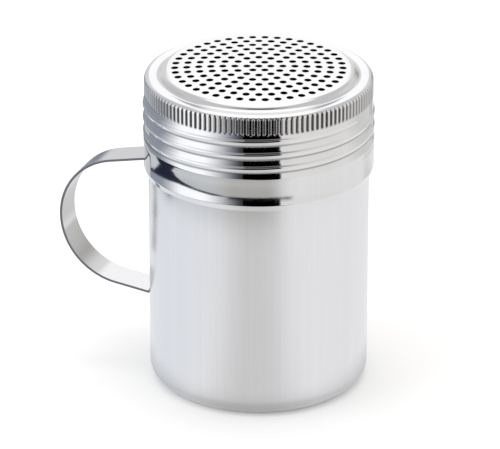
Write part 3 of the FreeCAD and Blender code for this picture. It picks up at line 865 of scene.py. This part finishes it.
# How far the table reaches at each heading, where the wall's foot shows beyond it, and the
# elevation of that foot's light
TABLE_HEADINGS = (-138, -134, -120, -113, -109, -99, -90, -84, -76, -59, -34, -30, 31, 40)
TABLE_REACHES = (0.2145, 0.1872, 0.1894, 0.1848, 0.1823, 0.172, 0.1828, 0.1875, 0.1939, 0.2034,
                 0.2124, 0.2145, 0.2145, 0.220)
WALL_HEADINGS = (-138, -134, -114, -95, -82, -67, -48, -29)
WALL_FEET = (0.2145, 0.1885, 0.1948, 0.199, 0.2003, 0.2054, 0.2137, 0.2214)
FOOT_ELEVATION = -21.4
HALF_BORDER = 0.0005
# The ceiling's light comes lower down at the left
CEILING_HEADINGS, CEILING_FEET = (-125, -100), (-4, 14)
CEILING_BLEND = 22


def span(value, starts, full, fades, gone, least=0.0):
    """From its least share up to 1 and down again to 0. The two slopes may overlap."""
    risen = least + (1 - least) * smooth_step(value, starts, full)
    return risen * (1 - smooth_step(value, fades, gone))


def painted(light, mask, colour):
    """A map of light with a colour, or another map, laid over it where the mask is 1."""
    return light + (np.array(colour) - light) * mask[..., None]


def layered(base, layers, heading, along):
    """A map of one light with layers laid over it. along is the distance or the elevation."""
    light = np.broadcast_to(base, heading.shape + (3,))
    for colour, headings, reach, both_sides in layers:
        aside = np.abs(heading) if both_sides else heading
        light = painted(light, span(aside, *headings) * span(along, *reach), colour)
    return light


def past(distance, border):
    """0 before a sharp border on the table and 1 past it."""
    return smooth_step(distance, border - HALF_BORDER, border + HALF_BORDER)


def table_light(heading, distance):
    """The table: white, darker in front, behind and outwards, with a shade at the shaker's foot. A
    dark gap lies past its edge, which is nearest at the left, and the wall's foot past the gap."""
    light = layered(TABLE_WHITE, TABLE_LAYERS, heading, distance)
    edge = layered(EDGE_RIGHT, EDGE_LAYERS, heading, distance)
    edge_start = np.where(np.abs(heading) > BEHIND[0], EDGE_START_BEHIND, EDGE_START)
    light = painted(light, smooth_step(distance, edge_start, EDGE_FULL), edge)
    light = layered(light, LATER_TABLE_LAYERS, heading, distance)
    shade = FOOT_SHADE + (1 - FOOT_SHADE) * smooth_step(distance, FOOT_DISTANCE, FOOT_SHADE_END)
    light = light * shade[..., None]
    light = painted(light, past(distance, np.interp(heading, TABLE_HEADINGS, TABLE_REACHES)), GAP_NAVY)
    wall = room_light(heading, np.full(heading.shape, FOOT_ELEVATION))
    return painted(light, past(distance, np.interp(heading, WALL_HEADINGS, WALL_FEET)), wall)


def room_light(heading, elevation):
    """The room: pale walls on the right, a grey one on the left with a large softbox before it, a
    black gap in front with a grey card in it, a white backdrop behind and a white ceiling."""
    light = layered(WALL_RIGHT, WALL_LAYERS, heading, elevation)
    ceiling_foot = np.interp(heading, CEILING_HEADINGS, CEILING_FEET)
    ceiling = smooth_step(elevation, ceiling_foot, ceiling_foot + CEILING_BLEND)
    light = painted(light, ceiling, CEILING_SIDE)
    light = layered(light, UPPER_LAYERS, heading, elevation)
    gap = span(heading, *GAP_HEADINGS) * span(elevation, *GAP_ELEVATIONS)
    light = painted(light, gap, FRONT_CARD)
    dark = gap * (1 - span(elevation, *CARD_ELEVATIONS))
    low_gap = span(heading, *LOW_GAP_HEADINGS) * span(elevation, *LOW_GAP_ELEVATIONS)
    return painted(light, np.maximum(dark, low_gap), BLACK)


def sweep(name, profile, along, light_at):
    """A surface swept about the upright axis that only glossy rays see. It glows with the light
    that light_at gives for each point's heading and its row's distance or elevation."""
    heading = np.linspace(-180, 180, SWEEP_COLUMNS + 1)
    angle = np.radians(heading) + CAMERA_AZIMUTH - math.pi / 2
    r, z = profile[:, :1], profile[:, 1:]
    points = np.stack([r * np.cos(angle), r * np.sin(angle), z + 0 * angle], axis=-1)
    light = light_at(*np.broadcast_arrays(heading, along[:, None]))
    rows, columns = points.shape[:2]
    index = np.arange(rows * columns).reshape(rows, columns)
    quads = np.stack([index[:-1, :-1], index[:-1, 1:], index[1:, 1:], index[1:, :-1]], axis=-1)
    mesh = bpy.data.meshes.new(name)
    mesh.from_pydata(points.reshape(-1, 3).tolist(), [], quads.reshape(-1, 4).tolist())
    colours = np.concatenate([light, np.ones(light.shape[:2] + (1,))], axis=-1)
    glowing = mesh.attributes.new("light", "FLOAT_COLOR", "POINT")
    glowing.data.foreach_set("color", colours.ravel())
    material, tree = blank_material(name)
    material.cycles.emission_sampling = "NONE"
    seen = put(tree, "ShaderNodeAttribute", attribute_name="light").outputs["Color"]
    glow = put(tree, "ShaderNodeEmission", Color=seen)
    put(tree, "ShaderNodeOutputMaterial", Surface=glow.outputs["Emission"])
    mesh.materials.append(material)
    made = bpy.data.objects.new(name, mesh)
    made.visible_camera = made.visible_diffuse = False
    made.visible_shadow = made.visible_transmission = False
    bpy.context.scene.collection.objects.link(made)


def make_surround():
    """The table, and the room's upright wall with a roof that almost closes to a point."""
    near = np.arange(FOOT_DISTANCE, FINE_ROWS_START, COARSE_ROW)
    far = np.arange(FINE_ROWS_START, ROOM_DISTANCE + FINE_ROW / 2, FINE_ROW)
    distance = np.concatenate([near, far])
    table = np.column_stack([distance, np.full(len(distance), TABLE_HEIGHT)])
    sweep("table_seen_in_steel", table, distance, table_light)
    rise = np.arange(TABLE_HEIGHT, ROOM_HEIGHT, COARSE_ROW)
    share = np.linspace(0, ROOF_END_SHARE, ROOF_ROWS)
    wall = np.column_stack([np.full(len(rise), ROOM_DISTANCE), rise])
    roof = np.column_stack([ROOM_DISTANCE * (1 - share),
                            ROOM_HEIGHT + (ROOM_TOP - ROOM_HEIGHT) * share])
    room = np.vstack([wall, roof])
    elevation = np.degrees(np.arctan2(room[:, 1] - LID_EYE, room[:, 0]))
    sweep("room_seen_in_steel", room, elevation, room_light)


def make_floor():
    """A white floor that keeps the shaker's shadow. A little light is added where the camera looks
    at it, so that it is white away from the shadow."""
    size = FLOOR_HALF_SIZE
    corners = [(-size, -size, 0), (size, -size, 0), (size, size, 0), (-size, size, 0)]
    mesh = bpy.data.meshes.new("floor")
    mesh.from_pydata(corners, [], [(0, 1, 2, 3)])
    material, tree = blank_material("floor_white")
    matt = put(tree, "ShaderNodeBsdfDiffuse", Color=FLOOR_WHITE)
    path = put(tree, "ShaderNodeLightPath")
    lift = put(tree, "ShaderNodeMath", operation="MULTIPLY")
    tree.links.new(path.outputs["Is Camera Ray"], lift.inputs[0])
    lift.inputs[1].default_value = FLOOR_LIFT
    glow = put(tree, "ShaderNodeEmission", Strength=lift.outputs[0])
    both = put(tree, "ShaderNodeAddShader")
    tree.links.new(matt.outputs[0], both.inputs[0])
    tree.links.new(glow.outputs[0], both.inputs[1])
    put(tree, "ShaderNodeOutputMaterial", Surface=both.outputs[0])
    mesh.materials.append(material)
    floor = bpy.data.objects.new("floor", mesh)
    bpy.context.scene.collection.objects.link(floor)


def make_lamp(name, place, size, power, colour):
    """A soft lamp aimed at the shaker's middle. The room's light stands for it in the steel."""
    lamp = bpy.data.lights.new(name, "AREA")
    lamp.shape = "RECTANGLE"
    lamp.size, lamp.size_y = size
    lamp.energy = power
    lamp.color = colour
    made = bpy.data.objects.new(name, lamp)
    made.location = place
    aim = Vector((0, 0, LID_EYE / 2)) - Vector(place)
    made.rotation_euler = aim.to_track_quat("-Z", "Y").to_euler()
    made.visible_glossy = False
    bpy.context.scene.collection.objects.link(made)


def make_world():
    """White to the camera and in reflections, and a plain pale grey as light."""
    world = bpy.data.worlds.new("studio")
    world.use_nodes = True
    tree = world.node_tree
    tree.nodes.clear()
    surround = put(tree, "ShaderNodeBackground", Color=WORLD_GREY)
    white = put(tree, "ShaderNodeBackground", Color=WORLD_WHITE)
    path = put(tree, "ShaderNodeLightPath")
    seen = path.outputs["Is Camera Ray"]
    for kind in ("Is Glossy Ray", "Is Transmission Ray"):
        either = put(tree, "ShaderNodeMath", operation="MAXIMUM")
        tree.links.new(seen, either.inputs[0])
        tree.links.new(path.outputs[kind], either.inputs[1])
        seen = either.outputs[0]
    mix = put(tree, "ShaderNodeMixShader")
    tree.links.new(seen, mix.inputs[0])
    tree.links.new(surround.outputs[0], mix.inputs[1])
    tree.links.new(white.outputs[0], mix.inputs[2])
    put(tree, "ShaderNodeOutputWorld", Surface=mix.outputs[0])
    bpy.context.scene.world = world


grain_tree = grain_group()
smudge_tree = smudge_group()
# The third colour of each steel is that of its painted shade
cup_steel = steel("cup_satin_steel", clean=(0.82, 0.82, 0.83), dull=(0.70, 0.70, 0.71),
                  shade_colour=(0.30, 0.28, 0.26), roughness=(0.16, 0.22, 0.50), stretch=(1, 1, 0.012),
                  fineness=1900, depth=0.004, brushed=0.85)
lid_steel = steel("lid_bright_steel", clean=(0.79, 0.79, 0.795), dull=(0.69, 0.69, 0.695),
                  shade_colour=(0.05, 0.035, 0.02), roughness=(0.04, 0.09, 0.50), stretch=(1, 1, 0.02),
                  fineness=1500, depth=0.0006)
strap_steel = steel("strap_bright_steel", clean=(0.74, 0.74, 0.745), dull=(0.68, 0.68, 0.685),
                    shade_colour=(0.17, 0.175, 0.19), roughness=(0.16, 0.22, 0.45), stretch=(1, 0.5, 1),
                    fineness=900, depth=0.0008)
dress(make_cup(), cup_steel, "cup", "cup")
dress(make_lid(), lid_steel, "lid", "lid")
dress(make_handle(), strap_steel, "cup", "handle")

make_camera()
make_floor()
make_surround()
make_world()
make_lamp("top_softbox", place=(0.0, 0.1, 1.3), size=(1.2, 1.2), power=6.0, colour=(1, 1, 1))
make_lamp("left_softbox", place=(-0.62, -0.5, 0.42), size=(0.7, 0.8), power=2.0,
          colour=(0.9, 0.96, 1))
bpy.context.scene.view_settings.view_transform = "Standard"
